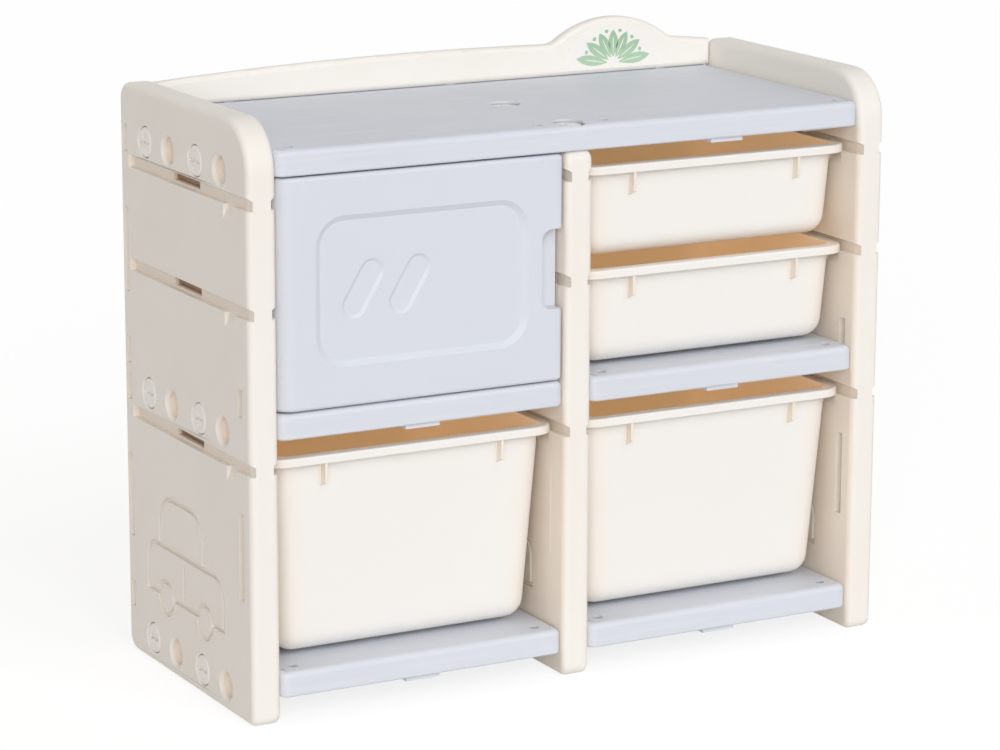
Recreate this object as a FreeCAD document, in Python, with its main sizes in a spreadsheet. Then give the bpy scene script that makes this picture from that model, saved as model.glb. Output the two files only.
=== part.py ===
"""Toy shelf for a child's room: moulded panels and shelves, a cupboard with a door, and four sliding bins.

Frame: +X to the right, +Y to the rear, +Z up, origin at the bottom centre. All lengths are in millimetres.
"""
import FreeCAD, Part, Sketcher
import math
import operator
import os

SIZES = {
    # carcass
    "overall_width": 850,
    "overall_depth": 360,
    "foot_height": 30,
    "shelf_thickness": 30,
    "lower_bay_height": 274,
    "upper_bay_height": 272,
    "side_rise": 34,
    # side and centre panels
    "panel_thickness": 36,
    "panel_edge_radius": 8,
    "panel_front_top_radius": 58,
    "panel_rear_radius": 20,
    "panel_foot_radius": 12,
    # runner grooves in the panels, each with a ledge, a floor pocket and a lead-in ramp
    "upper_ledge_drop": 35.5,
    "lower_ledge_drop": 38,
    "shallow_bin_pitch": 124.5,
    "groove_height": 11.5,
    "groove_depth": 7,
    "groove_flare": 4,
    "groove_rear_margin": 26,
    "floor_pocket_width": 75,
    "floor_pocket_rise": 3,
    "floor_pocket_depth": 5,
    "ramp_width": 25,
    "ramp_height": 16,
    "ramp_setback": 52,
    # upright slots moulded into the panels
    "slot_width": 13,
    "slot_depth": 5,
    "slot_front_margin": 27,
    "slot_rear_margin": 16,
    "long_slot_length": 103,
    "short_slot_length": 33,
    "short_slot_sink": 3,
    # a car in sunk lines, low on both faces of each panel
    "car_rise": 92,
    "car_offset": 8,
    "car_half_length": 112,
    "car_body_height": 66,
    "car_body_radius": 30,
    "car_cabin_half_length": 66,
    "car_cabin_height": 62,
    "car_cabin_radius": 40,
    "car_cabin_shift": 10,
    "car_wheel_radius": 23,
    "car_wheel_offset": 56,
    "car_line_width": 6,
    "car_line_depth": 2.2,
    # shelves and top board
    "shelf_setback": 10,
    "shelf_end_gap": 0.4,
    "shelf_corner_radius": 12,
    "shelf_edge_radius": 7,
    "shelf_under_radius": 3,
    "boss_drop": 12,
    "boss_width": 44,
    "boss_length": 46,
    "boss_edge_radius": 4,
    "lug_width": 44,
    "lug_depth": 7,
    "lug_drop": 5,
    "lug_setback": 5,
    "dimple_radius": 6.5,
    "dimple_depth": 4,
    "dimple_inset": 26,
    "dimple_setback": 15,
    # plastic bolts
    "bolt_outer_offset": 105,
    "bolt_inner_offset": 38.5,
    "bolt_rise": 1,
    "bolt_head_radius": 17.8,
    "bolt_head_chamfer": 1.5,
    "bolt_head_height": 7,
    "bolt_shank_radius": 10,
    "bolt_tip_chamfer": 2,
    "bolt_engagement": 35,
    "bolt_slot_width": 3.5,
    "bolt_slot_length": 25,
    "bolt_slot_depth": 3,
    "bolt_hole_clearance": 0.2,
    "bolt_end_clearance": 2,
    "recess_radius": 19,
    "recess_chamfer": 1.5,
    "top_bolt_setback": 22,
    "top_bolt_pitch": 151,
    "top_bolt_sink": 3.5,
    "top_bolt_engagement": 17,
    # back rail and its plate
    "rail_thickness": 18,
    "rail_foot_gap": 2,
    "rail_left_height": 30,
    "rail_height": 40.5,
    "rail_right_height": 34,
    "rail_crown": 6.5,
    "rail_edge_radius": 6,
    "hump_height": 71,
    "hump_half_width": 86,
    "hump_end_gap": 59.6,
    "hump_foot_radius": 30,
    "peg_width": 11,
    "peg_depth": 8,
    "peg_length": 12,
    "peg_clearance": 0.2,
    "plate_half_width": 71,
    "plate_shoulder": 18,
    "plate_height": 57,
    "plate_thickness": 0.8,
    "plate_foot_gap": 4,
    # door
    "door_thickness": 27,
    "door_hinge_gap": 1,
    "door_free_gap": 3.5,
    "door_top_gap": 2,
    "door_bottom_gap": 2,
    "door_free_radius": 8,
    "door_rear_radius": 3,
    "door_edge_radius": 5,
    "door_field_side_margin": 46.5,
    "door_field_height_margin": 46.5,
    "door_field_radius": 37,
    "door_field_slope": 7,
    "door_field_depth": 4.5,
    "pill_radius": 15.5,
    "pill_slope": 4,
    "pill_depth": 2.5,
    "pill_lean": 11.5,
    "pill_half_length": 19,
    "pill_pitch": 59.5,
    "pill_offset": 45.5,
    "notch_height": 95,
    "notch_width": 29,
    "notch_radius": 14,
    "notch_flare": 4,
    "notch_depth": 20,
    # hinge pins
    "hinge_radius": 22,
    "pin_radius": 4,
    "pin_clearance": 0.05,
    "pin_shelf_length": 12,
    "pin_door_length": 20,
    # bins
    "bin_front_setback": 22,
    "bin_rear_gap": 18,
    "bin_wall": 2.5,
    "bin_corner_radius": 32,
    "bin_foot_radius": 22,
    "bin_floor_gap": 5,
    "bin_stack_gap": 12,
    "rim_engagement": 4.5,
    "rim_height": 10,
    "rim_thickness": 3,
    "rim_overhang": 19,
    "rim_edge_radius": 2,
    "runner_clearance": 0.3,
    "rib_width": 4,
    "rib_offset": 115,
    "rib_drop": 22,
    "rib_slope": 3,
    # play at the bottom of each blind socket
    "socket_end_clearance": 1,
    # how far each cut runs past the face that it starts from
    "overrun": 5,
}

BIN_DRAFT_SHARE = 0.077
# how close counts as touching, as a share of the overall width
TOUCH_SHARE = 1e-4
# places of the back rail's pegs, as shares of half its length
PEG_SHARES = (-0.741, 0.036, 0.813)
# where along an edge its place is read
PROBE_SHARES = (0, 0.25, 0.5, 0.75, 1)

doc = FreeCAD.newDocument("toy_shelf")
sheet = doc.addObject("Spreadsheet::Sheet", "Sizes")
for row, (alias, number) in enumerate(SIZES.items(), start=1):
    sheet.set(f"A{row}", alias)
    sheet.set(f"B{row}", str(number))
    sheet.setAlias(f"B{row}", alias)
doc.recompute()


class Size:
    """A length with the sheet expression that it comes from, so that sums of sizes stay tied to the sheet."""

    def __init__(self, expression, value):
        self.expression = expression
        self.value = value

    def __add__(self, other):
        return combine(self, "+", other)

    def __sub__(self, other):
        return combine(self, "-", other)

    def __mul__(self, other):
        return combine(self, "*", other)

    def __truediv__(self, other):
        return combine(self, "/", other)

    def __neg__(self):
        return Size(f"(-{self.expression})", -self.value)


OPERATIONS = {"+": operator.add, "-": operator.sub, "*": operator.mul, "/": operator.truediv}


def combine(left, sign, right):
    """The sum, difference, product or quotient of a size and a size or plain number."""
    if not isinstance(right, Size):
        right = Size(str(right), right)
    value = OPERATIONS[sign](left.value, right.value)
    return Size(f"({left.expression} {sign} {right.expression})", value)


class SheetSizes:
    """Gives each cell of the sheet as a size, under its alias."""

    def __getattr__(self, alias):
        return Size(f"Sizes.{alias}", float(getattr(sheet, alias)))


size = SheetSizes()
ZERO = Size("0", 0.0)

# Places that several pieces share
half_width = size.overall_width / 2
half_depth = size.overall_depth / 2
half_panel = size.panel_thickness / 2
inner_face = half_width - size.panel_thickness
bay_width = inner_face - half_panel
bay_centre = (inner_face + half_panel) / 2
bottom_level = size.foot_height
middle_level = bottom_level + size.shelf_thickness + size.lower_bay_height
top_level = middle_level + size.shelf_thickness + size.upper_bay_height
top_face = top_level + size.shelf_thickness
side_height = top_face + size.side_rise
upper_ledge = top_level - size.upper_ledge_drop
middle_ledge = upper_ledge - size.shallow_bin_pitch
lower_ledge = middle_level - size.lower_ledge_drop
shelf_front = size.shelf_setback - half_depth
shelf_half_length = bay_width / 2 - size.shelf_end_gap
board_half_length = inner_face - size.shelf_end_gap
left_end_bolts = (size.bolt_outer_offset, -size.bolt_inner_offset)
right_end_bolts = (-size.bolt_outer_offset, size.bolt_inner_offset)
bolt_hole_radius = size.bolt_shank_radius + size.bolt_hole_clearance
front_top_bolt = shelf_front + size.top_bolt_setback
top_bolt_places = (front_top_bolt, front_top_bolt + size.top_bolt_pitch)
pivot_x = size.door_hinge_gap + size.hinge_radius - inner_face
pivot_y = size.hinge_radius - half_depth
pin_bore_radius = size.pin_radius + size.pin_clearance
rail_front = half_depth - size.rail_thickness
rail_foot = top_face + size.rail_foot_gap
hump_centre = board_half_length - size.hump_end_gap - size.hump_half_width
touching = size.overall_width.value * TOUCH_SHARE


def bind(item, **places):
    """Tie properties of an object to sizes."""
    for name, length in places.items():
        item.setExpression(name, length.expression)


def put(item, x, y, z):
    """Tie the place of an object to sizes."""
    for axis, length in zip("xyz", (x, y, z)):
        item.setExpression(f"Placement.Base.{axis}", length.expression)


def new_body(label, x=ZERO, y=ZERO, z=ZERO):
    body = doc.addObject("PartDesign::Body", label)
    body.Label = label
    put(body, x, y, z)
    return body


def origin_plane(body, role):
    return next(plane for plane in body.Origin.OriginFeatures if plane.Role == role)


def sketch_on(body, role, name, offset=ZERO):
    """A sketch on one of the body's origin planes, moved along that plane's normal."""
    sketch = body.newObject("Sketcher::SketchObject", name)
    sketch.AttachmentSupport = [(origin_plane(body, role), "")]
    sketch.MapMode = "FlatFace"
    sketch.setExpression("AttachmentOffset.Base.z", offset.expression)
    return sketch


def constrain(sketch, kind, *where):
    """Add a constraint, whose last entry may be a size that it follows."""
    length = where[-1]
    if not isinstance(length, Size):
        sketch.addConstraint(Sketcher.Constraint(kind, *where))
        return
    number = sketch.addConstraint(Sketcher.Constraint(kind, *where[:-1], length.value))
    sketch.setExpression(f"Constraints[{number}]", length.expression)


def hold(sketch, curve, vertex, x=None, y=None):
    """Hold a point of a curve at a distance from the sketch's origin."""
    if x is not None:
        constrain(sketch, "DistanceX", -1, 1, curve, vertex, x)
    if y is not None:
        constrain(sketch, "DistanceY", -1, 1, curve, vertex, y)


def vector(x, y):
    return FreeCAD.Vector(x.value, y.value, 0)


def draw_outline(sketch, corners):
    """A closed outline, counter-clockwise. A corner's third entry is the radius of the arc that follows it.

    A negative radius bends the arc inward.
    """
    first = sketch.GeometryCount
    count = len(corners)
    vertices = []
    for number, corner in enumerate(corners):
        start = vector(*corner[:2])
        end = vector(*corners[(number + 1) % count][:2])
        inward = len(corner) == 3 and corner[2].value < 0
        vertices.append((2, 1) if inward else (1, 2))
        if len(corner) == 2:
            sketch.addGeometry(Part.LineSegment(start, end))
        elif inward:
            sketch.addGeometry(arc_between(end, start, -corner[2].value))
        else:
            sketch.addGeometry(arc_between(start, end, corner[2].value))
    for number, corner in enumerate(corners):
        curve = first + number
        following = (number + 1) % count
        constrain(sketch, "Coincident", curve, vertices[number][1], first + following, vertices[following][0])
        hold(sketch, curve, vertices[number][0], corner[0], corner[1])
        if len(corner) == 3:
            constrain(sketch, "Radius", curve, -corner[2] if corner[2].value < 0 else corner[2])


def arc_between(start, end, radius):
    """The counter-clockwise arc from start to end, shorter than a half circle."""
    chord = end - start
    sink = math.sqrt(radius ** 2 - (chord.Length / 2) ** 2)
    across = FreeCAD.Vector(-chord.y, chord.x, 0).normalize()
    centre = (start + end) / 2 + across * sink
    angles = [math.atan2(point.y - centre.y, point.x - centre.x) for point in (start, end)]
    return Part.ArcOfCircle(Part.Circle(centre, FreeCAD.Vector(0, 0, 1), radius), *angles)


def draw_rectangle(sketch, left, right, bottom, top):
    draw_outline(sketch, [(left, bottom), (right, bottom), (right, top), (left, top)])


def draw_circle(sketch, x, y, radius):
    curve = sketch.addGeometry(Part.Circle(vector(x, y), FreeCAD.Vector(0, 0, 1), radius.value))
    hold(sketch, curve, 3, x, y)
    constrain(sketch, "Radius", curve, radius)


def draw_round_path(sketch, centres, radius):
    """A closed outline at a radius round the centres, which are given counter-clockwise."""
    points = [vector(*centre) for centre in centres]
    count = len(points)
    first = sketch.GeometryCount
    for number, point in enumerate(points):
        before = point - points[number - 1]
        after = points[(number + 1) % count] - point
        turn_in = math.atan2(before.y, before.x) - math.pi / 2
        turn_out = math.atan2(after.y, after.x) - math.pi / 2
        circle = Part.Circle(point, FreeCAD.Vector(0, 0, 1), radius.value)
        sketch.addGeometry(Part.ArcOfCircle(circle, turn_in, turn_out))
        outward = FreeCAD.Vector(math.cos(turn_out), math.sin(turn_out), 0) * radius.value
        sketch.addGeometry(Part.LineSegment(point + outward, point + after + outward))
    for number, centre in enumerate(centres):
        arc = first + 2 * number
        line = arc + 1
        next_arc = first + 2 * ((number + 1) % count)
        constrain(sketch, "Tangent", arc, 2, line, 1)
        constrain(sketch, "Tangent", line, 2, next_arc, 1)
        hold(sketch, arc, 3, *centre)
        if number == 0:
            constrain(sketch, "Radius", arc, radius)
        else:
            constrain(sketch, "Equal", first, arc)


def draw_rounded_rectangle(sketch, left, right, bottom, top, radius):
    low_x, high_x = left + radius, right - radius
    low_y, high_y = bottom + radius, top - radius
    draw_round_path(sketch, [(low_x, low_y), (high_x, low_y), (high_x, high_y), (low_x, high_y)], radius)


def draw_pill(sketch, start, end, radius):
    draw_round_path(sketch, [start, end], radius)


def finish_feature(body, feature):
    body.Tip = feature
    doc.recompute()
    return feature


def pad(body, sketch, length, reverse=False, side="One side"):
    feature = body.newObject("PartDesign::Pad", f"{sketch.Name}_pad")
    feature.Profile = sketch
    feature.SideType = side
    feature.Reversed = reverse
    bind(feature, Length=length)
    return finish_feature(body, feature)


def check_cut(body, feature, volume_before):
    if not feature.Shape.Volume < volume_before:
        raise ValueError(f"{feature.Name} of {body.Label} cuts nothing")
    return feature


def pocket(body, sketch, depth, reverse=False, side="One side"):
    volume_before = body.Tip.Shape.Volume
    feature = body.newObject("PartDesign::Pocket", f"{sketch.Name}_pocket")
    feature.Refine = False
    feature.Profile = sketch
    feature.SideType = side
    feature.Reversed = reverse
    bind(feature, Length=depth)
    return check_cut(body, finish_feature(body, feature), volume_before)


def cut_loft(body, sketches):
    """A cut with straight sloping walls from the first sketch to the last."""
    volume_before = body.Tip.Shape.Volume
    feature = body.newObject("PartDesign::SubtractiveLoft", f"{sketches[0].Name}_loft")
    feature.Profile = sketches[0]
    feature.Sections = sketches[1:]
    feature.Ruled = True
    return check_cut(body, finish_feature(body, feature), volume_before)


def mirror(body, role, originals):
    feature = body.newObject("PartDesign::Mirrored", "both_faces")
    feature.Refine = False
    feature.Originals = originals
    feature.MirrorPlane = (origin_plane(body, role), [""])
    return finish_feature(body, feature)


def edges_at(body, **places):
    """Names of the body's edges that lie wholly at the given places, such as x=... or z=..."""
    names = []
    for number, edge in enumerate(body.Tip.Shape.Edges, start=1):
        first, last = edge.ParameterRange
        points = [edge.valueAt(first + (last - first) * share) for share in PROBE_SHARES]
        gaps = [getattr(point, axis) - place.value for axis, place in places.items() for point in points]
        if max(abs(gap) for gap in gaps) < touching:
            names.append(f"Edge{number}")
    if not names:
        raise ValueError(f"no edges of {body.Label} at {sorted(places)}")
    return names


def edges_between(body, pairs):
    """Names of the body's edges that run between the pairs of points."""
    names = []
    for number, edge in enumerate(body.Tip.Shape.Edges, start=1):
        ends = [vertex.Point for vertex in edge.Vertexes]
        for pair in pairs:
            if all(min(end.distanceToPoint(point) for point in pair) < touching for end in ends):
                names.append(f"Edge{number}")
    if len(names) != len(pairs):
        raise ValueError(f"{len(names)} edges of {body.Label} found between {len(pairs)} pairs of points")
    return names


def round_edges(body, edges, radius):
    base = body.Tip
    feature = body.newObject("PartDesign::Fillet", "rounding")
    feature.Base = (base, edges)
    bind(feature, Radius=radius)
    return finish_feature(body, feature)


def chamfer_edges(body, edges, length):
    base = body.Tip
    feature = body.newObject("PartDesign::Chamfer", "chamfer")
    feature.Base = (base, edges)
    bind(feature, Size=length)
    return finish_feature(body, feature)


def make_panel_slab(label, centre_x, height, front_top_radius, rear_top_radius):
    """A moulded panel with soft edges, upright in the YZ plane, its faces at plus and minus half_panel."""
    body = new_body(label, x=centre_x)
    outline = sketch_on(body, "YZ_Plane", "panel_outline")
    draw_rectangle(outline, -half_depth, half_depth, ZERO, height)
    pad(body, outline, size.panel_thickness, side="Symmetric")
    for y, z, radius in (
        (-half_depth, height, front_top_radius),
        (half_depth, height, rear_top_radius),
        (half_depth, ZERO, size.panel_rear_radius),
        (-half_depth, ZERO, size.panel_foot_radius),
    ):
        round_edges(body, edges_at(body, y=y, z=z), radius)
    face_edges = edges_at(body, x=half_panel) + edges_at(body, x=-half_panel)
    round_edges(body, face_edges, size.panel_edge_radius)
    return body


def cut_runners(body):
    """The runner grooves with their floor pockets and lead-in ramps, alike on both faces of a panel."""
    ledges = (lower_ledge, middle_ledge, upper_ledge)
    groove_rear = half_depth - size.groove_rear_margin
    grooves = sketch_on(body, "XZ_Plane", "runner_grooves", -groove_rear)
    pockets = sketch_on(body, "YZ_Plane", "floor_pockets", half_panel)
    ramps = sketch_on(body, "XZ_Plane", "lead_in_ramps", half_depth - size.ramp_setback)
    groove_floor = half_panel - size.groove_depth
    half_pocket = size.floor_pocket_width / 2
    for ledge in ledges:
        groove_top = ledge + size.groove_height
        draw_outline(grooves, [
            (groove_floor, ledge),
            (half_panel, ledge),
            (half_panel, groove_top + size.groove_flare),
            (groove_floor, groove_top),
        ])
        draw_rectangle(pockets, -half_pocket, half_pocket, ledge + size.floor_pocket_rise, groove_top)
        ramp_foot = ledge - size.ramp_height
        draw_outline(ramps, [(half_panel, ramp_foot), (half_panel, ledge), (groove_floor, ledge)])
    return [
        pocket(body, grooves, groove_rear + half_depth + size.overrun, reverse=True),
        pocket(body, pockets, size.groove_depth + size.floor_pocket_depth),
        pocket(body, ramps, size.ramp_width, side="Symmetric"),
    ]


def cut_slots(body, has_top_slots):
    """Upright slots near the front and rear edges, alike on both faces of a panel."""
    slots = sketch_on(body, "YZ_Plane", "upright_slots", half_panel)
    half_slot = size.slot_width / 2
    front_line = size.slot_front_margin - half_depth
    rear_line = half_depth - size.slot_rear_margin
    half_long = size.long_slot_length / 2
    lower_bay_centre = middle_level - size.lower_bay_height / 2
    upper_bay_centre = top_level - size.upper_bay_height / 2
    long_centres = (
        (front_line, lower_bay_centre),
        (rear_line, lower_bay_centre),
        (rear_line, upper_bay_centre),
    )
    spans = [(y, z - half_long, z + half_long) for y, z in long_centres]
    short_feet = [
        (front_line, middle_level + size.shelf_thickness - size.short_slot_sink),
        (rear_line, bottom_level + size.shelf_thickness - size.short_slot_sink),
        (rear_line, middle_level + size.shelf_thickness - size.short_slot_sink),
        (rear_line, middle_level - size.shelf_thickness / 2 - size.short_slot_sink),
    ]
    if has_top_slots:
        short_feet.append((rear_line, top_level - size.shelf_thickness / 2 - size.short_slot_sink))
    spans += [(y, foot, foot + size.short_slot_length) for y, foot in short_feet]
    for y, low, high in spans:
        draw_rectangle(slots, y - half_slot, y + half_slot, low, high)
    return pocket(body, slots, size.slot_depth)


def draw_arch(sketch, left, right, foot, top, radius):
    """The outline of a line that goes up, over and down again, with round shoulders."""
    line = size.car_line_width
    inner = radius - line
    draw_outline(sketch, [
        (right - line, foot),
        (right, foot),
        (right, top - radius, radius),
        (right - radius, top),
        (left + radius, top, radius),
        (left, top - radius),
        (left, foot),
        (left + line, foot),
        (left + line, top - radius, -inner),
        (left + radius, top - line),
        (right - radius, top - line, -inner),
        (right - line, top - radius),
    ])


def cut_car(body):
    """A plain car drawn in sunk lines, alike on both faces of a panel."""
    line = size.car_line_width
    foot = size.car_rise
    roof_foot = foot + size.car_body_height
    middle = size.car_offset
    left, right = middle - size.car_half_length, middle + size.car_half_length
    wheels = (middle - size.car_wheel_offset, middle + size.car_wheel_offset)
    body_lines = sketch_on(body, "YZ_Plane", "car_body_lines", half_panel)
    draw_arch(body_lines, left, right, foot, roof_foot, size.car_body_radius)
    for y in wheels:
        draw_circle(body_lines, y, foot, size.car_wheel_radius)
        draw_circle(body_lines, y, foot, size.car_wheel_radius - line)
    cabin_lines = sketch_on(body, "YZ_Plane", "car_cabin_lines", half_panel)
    cabin_middle = middle + size.car_cabin_shift
    draw_arch(
        cabin_lines,
        cabin_middle - size.car_cabin_half_length,
        cabin_middle + size.car_cabin_half_length,
        roof_foot - line / 2,
        roof_foot + size.car_cabin_height,
        size.car_cabin_radius,
    )
    reach = size.car_wheel_radius - line / 2
    sills = (
        (left + line / 2, wheels[0] - reach),
        (wheels[0] + reach, wheels[1] - reach),
        (wheels[1] + reach, right - line / 2),
    )
    for start, end in sills:
        draw_rectangle(cabin_lines, start, end, foot, foot + line)
    draw_rectangle(cabin_lines, middle, middle + line, foot + line * 2, roof_foot - line * 2)
    return [pocket(body, lines, size.car_line_depth) for lines in (body_lines, cabin_lines)]


def cut_bolt_recesses(body, side, places):
    """Round recesses for bolt heads in the face on the given side, with chamfered rims."""
    face = half_panel * side
    recesses = sketch_on(body, "YZ_Plane", "bolt_recesses", face)
    for y, z in places:
        draw_circle(recesses, y, z, size.recess_radius)
    pocket(body, recesses, size.bolt_head_height, reverse=side < 0)
    rims = []
    for name in edges_at(body, x=face):
        curve = body.Tip.Shape.getElement(name).Curve
        if isinstance(curve, Part.Circle) and abs(curve.Radius - size.recess_radius.value) < touching:
            rims.append(name)
    chamfer_edges(body, rims, size.recess_chamfer)


def drill_bolt_holes(body, places):
    """Holes right through a panel for the bolt shanks."""
    holes = sketch_on(body, "YZ_Plane", "bolt_holes")
    for y, z in places:
        draw_circle(holes, y, z, bolt_hole_radius)
    pocket(body, holes, size.panel_thickness + size.overrun, side="Symmetric")


def bolt_rows(offsets, levels):
    return [(y, level + size.bolt_rise) for level in levels for y in offsets]


def make_side_panel(label, side):
    """A side panel. Its outer face has four recesses in each row, and two of each four are drilled."""
    centre_x = (half_width - half_panel) * side
    body = make_panel_slab(label, centre_x, side_height, size.panel_front_top_radius, size.panel_rear_radius)
    levels = (bottom_level, middle_level, top_level)
    mirror(body, "YZ_Plane", cut_runners(body) + [cut_slots(body, has_top_slots=True)] + cut_car(body))
    cut_bolt_recesses(body, side, bolt_rows(left_end_bolts + right_end_bolts, levels))
    drill_bolt_holes(body, bolt_rows(left_end_bolts if side < 0 else right_end_bolts, levels))
    return body


def make_centre_panel(label):
    """The divider. The left shelves' bolts come from its right side, and the right shelves' from its left."""
    body = make_panel_slab(label, ZERO, top_level, size.panel_foot_radius, size.panel_foot_radius)
    levels = (bottom_level, middle_level)
    mirror(body, "YZ_Plane", cut_runners(body) + [cut_slots(body, has_top_slots=False)] + cut_car(body))
    cut_bolt_recesses(body, 1, bolt_rows(right_end_bolts, levels))
    cut_bolt_recesses(body, -1, bolt_rows(left_end_bolts, levels))
    drill_bolt_holes(body, bolt_rows(left_end_bolts + right_end_bolts, levels))
    holes = sketch_on(body, "XY_Plane", "top_bolt_holes", top_level)
    for y in top_bolt_places:
        draw_circle(holes, ZERO, y, bolt_hole_radius)
    pocket(body, holes, size.top_bolt_engagement + size.bolt_end_clearance)
    return body


def make_board(label, x, level, half_length, rear):
    """A moulded board with soft edges and bolt bosses under its two ends, its underside at the level."""
    body = new_body(label, x=x, z=level)
    outline = sketch_on(body, "XY_Plane", "board_outline")
    draw_rectangle(outline, -half_length, half_length, shelf_front, rear)
    pad(body, outline, size.shelf_thickness)
    corners = []
    for corner_x in (-half_length, half_length):
        for corner_y in (shelf_front, rear):
            corners += edges_at(body, x=corner_x, y=corner_y)
    round_edges(body, corners, size.shelf_corner_radius)
    round_edges(body, edges_at(body, z=size.shelf_thickness), size.shelf_edge_radius)
    round_edges(body, edges_at(body, z=ZERO), size.shelf_under_radius)
    add_bosses(body, half_length)
    return body


def add_bosses(body, half_length):
    """Bosses under both ends. Each takes a bolt, whose line runs close to the board's underside."""
    bosses = sketch_on(body, "XY_Plane", "bosses", size.shelf_under_radius)
    half_boss = size.boss_width / 2
    for end, offsets in ((-1, left_end_bolts), (1, right_end_bolts)):
        outer, inner = half_length * end, (half_length - size.boss_length) * end
        left, right = (outer, inner) if end < 0 else (inner, outer)
        for y in offsets:
            draw_rectangle(bosses, left, right, y - half_boss, y + half_boss)
    pad(body, bosses, size.boss_drop + size.shelf_under_radius, reverse=True)
    round_edges(body, edges_at(body, z=-size.boss_drop), size.boss_edge_radius)
    for end, offsets in ((-1, left_end_bolts), (1, right_end_bolts)):
        holes = sketch_on(body, "YZ_Plane", "boss_holes", half_length * end)
        for y in offsets:
            draw_circle(holes, y, size.bolt_rise, bolt_hole_radius)
        pocket(body, holes, size.bolt_engagement + size.bolt_end_clearance, reverse=end < 0)


def add_lugs(body, centres):
    """A small lug under the front edge, at the middle of each bay named."""
    lugs = sketch_on(body, "XY_Plane", "lugs", size.shelf_under_radius)
    front = shelf_front + size.lug_setback
    half_lug = size.lug_width / 2
    for x in centres:
        draw_rectangle(lugs, x - half_lug, x + half_lug, front, front + size.lug_depth)
    pad(body, lugs, size.lug_drop + size.shelf_under_radius, reverse=True)


def cut_dimples(body, places):
    dimples = sketch_on(body, "XY_Plane", "dimples", size.shelf_thickness)
    for x in places:
        draw_circle(dimples, x, shelf_front + size.dimple_setback, size.dimple_radius)
    pocket(body, dimples, size.dimple_depth)


def cut_pin_socket(body, x, from_top):
    """A blind socket for a hinge pin, in the top or the underside of a board."""
    socket = sketch_on(body, "XY_Plane", "pin_socket", size.shelf_thickness if from_top else ZERO)
    draw_circle(socket, x, pivot_y, pin_bore_radius)
    pocket(body, socket, size.pin_shelf_length + size.socket_end_clearance, reverse=not from_top)


def make_shelf(label, side, level):
    body = make_board(label, bay_centre * side, level, shelf_half_length, -shelf_front)
    add_lugs(body, (ZERO,))
    dimple_x = bay_width / 2 - size.dimple_inset
    cut_dimples(body, (-dimple_x, dimple_x))
    return body


def make_top_board(label):
    """The board over both bays, screwed down to the divider and pegged to the back rail."""
    body = make_board(label, ZERO, top_level, board_half_length, half_depth)
    add_lugs(body, (bay_centre,))
    near, far = half_panel + size.dimple_inset, inner_face - size.dimple_inset
    cut_dimples(body, (-far, -near, near, far))
    recesses = sketch_on(body, "XY_Plane", "bolt_recesses", size.shelf_thickness)
    holes = sketch_on(body, "XY_Plane", "bolt_holes", size.shelf_thickness)
    for y in top_bolt_places:
        draw_circle(recesses, ZERO, y, size.recess_radius)
        draw_circle(holes, ZERO, y, bolt_hole_radius)
    pocket(body, recesses, size.top_bolt_sink + size.bolt_head_height)
    pocket(body, holes, size.shelf_thickness + size.overrun)
    sockets = sketch_on(body, "XY_Plane", "peg_sockets", size.shelf_thickness)
    draw_pegs(sockets, size.peg_clearance)
    pocket(body, sockets, size.peg_length + size.socket_end_clearance)
    cut_pin_socket(body, pivot_x, from_top=False)
    return body


def draw_pegs(sketch, clearance):
    """The outlines of the back rail's pegs, grown by a clearance for their sockets."""
    peg_y = rail_front + size.rail_thickness / 2
    half_x = size.peg_width / 2 + clearance
    half_y = size.peg_depth / 2 + clearance
    for share in PEG_SHARES:
        x = board_half_length * share
        draw_rectangle(sketch, x - half_x, x + half_x, peg_y - half_y, peg_y + half_y)


def crown_radius(half_chord, rise):
    """Radius of an arc that rises by rise over a chord of twice half_chord."""
    return (half_chord * half_chord + rise * rise) / (rise * 2)


def make_back_rail(label):
    """The rail behind the top board, with a crowned top and a hump, on pegs that go into the board."""
    body = new_body(label)
    outline = sketch_on(body, "XZ_Plane", "rail_outline", -half_depth)
    hump_right = hump_centre + size.hump_half_width
    hump_left = hump_centre - size.hump_half_width
    crest = top_face + size.rail_height
    half_crown = (board_half_length + hump_left) / 2
    draw_outline(outline, [
        (-board_half_length, rail_foot),
        (board_half_length, rail_foot),
        (board_half_length, top_face + size.rail_right_height),
        (hump_right, crest, crown_radius(size.hump_half_width, size.hump_height - size.rail_height)),
        (hump_left, crest, crown_radius(half_crown, size.rail_crown)),
        (-board_half_length, top_face + size.rail_left_height),
    ])
    pad(body, outline, size.rail_thickness)
    for x in (hump_left, hump_right):
        round_edges(body, edges_at(body, x=x, z=crest), size.hump_foot_radius)
    face_edges = edges_at(body, y=rail_front) + edges_at(body, y=half_depth)
    round_edges(body, face_edges, size.rail_edge_radius)
    pegs = sketch_on(body, "XY_Plane", "pegs", rail_foot + size.rail_edge_radius)
    draw_pegs(pegs, ZERO)
    pad(body, pegs, size.rail_edge_radius + size.rail_foot_gap + size.peg_length, reverse=True)
    return body


def make_motif_plate(label):
    """A thin arched plate on the front of the rail's hump."""
    body = new_body(label)
    outline = sketch_on(body, "XZ_Plane", "plate_outline", -rail_front)
    left, right = hump_centre - size.plate_half_width, hump_centre + size.plate_half_width
    foot = rail_foot + size.plate_foot_gap
    shoulder = foot + size.plate_shoulder
    arch_rise = size.plate_height - size.plate_shoulder
    draw_outline(outline, [
        (left, foot),
        (right, foot),
        (right, shoulder, crown_radius(size.plate_half_width, arch_rise)),
        (left, shoulder),
    ])
    pad(body, outline, size.plate_thickness)
    return body


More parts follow.
